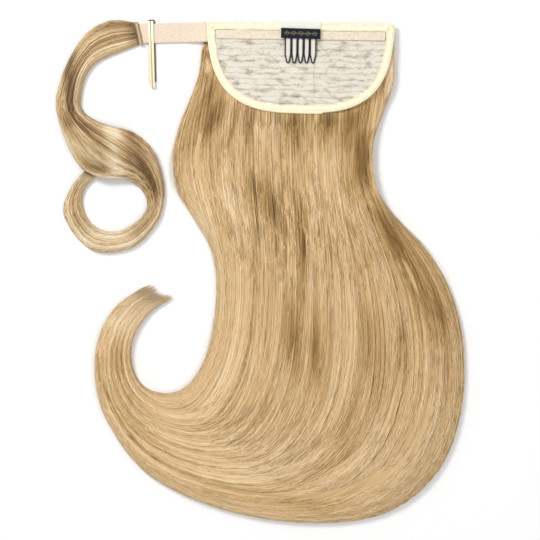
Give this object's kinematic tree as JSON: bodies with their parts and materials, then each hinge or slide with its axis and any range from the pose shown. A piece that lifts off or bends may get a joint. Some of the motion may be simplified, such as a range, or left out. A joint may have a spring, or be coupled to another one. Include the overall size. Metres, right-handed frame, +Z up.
{
  "type": "ponytail hairpiece",
  "caption": "Ponytail hairpiece lying with its net cap up: curled fall of blond hair on a bound D-shaped cap, with wire comb, hook strap, hairpin and loose wrap lock.",
  "frame": {"origin": "on the table, under the middle of the whole hairpiece", "axes": "+Y towards the cap's straight edge, +X to the right seen from above, +Z up out of the table"},
  "size_m": [0.3386, 0.4182, 0.0251],
  "materials": {
    "net": "crinkled off-white lace net",
    "binding": "ivory bias tape with stitched edges",
    "band": "smooth beige fabric",
    "ribbon": "grey-white grosgrain",
    "comb_wire": "black lacquered wire",
    "label": "dark woven satin",
    "strap": "beige hook-and-loop tape",
    "weft": "machine-sewn hair weft",
    "pin": "pale gold plate",
    "lock_hair": "straight dark honey hair",
    "fall_hair": "waved honey and beige blond hair"
  },
  "bodies": {
    "hairpiece": {"cap_foundation": "net", "edge_binding": "binding", "top_band": "band", "comb_ribbon": "ribbon", "wire_comb": "comb_wire", "comb_label": "label", "hook_strap": "strap", "wrap_weft": "weft", "wrap_lock": "lock_hair", "hair_fall": "fall_hair"},
    "pin": {"hairpin": "pin"}
  },
  "joints": [
    {"name": "pin_slide", "type": "slide", "parent": "hairpiece", "child": "pin", "axis": [-0.0236, 0.9997, 0], "range_m": [0, 0.056]}
  ]
}
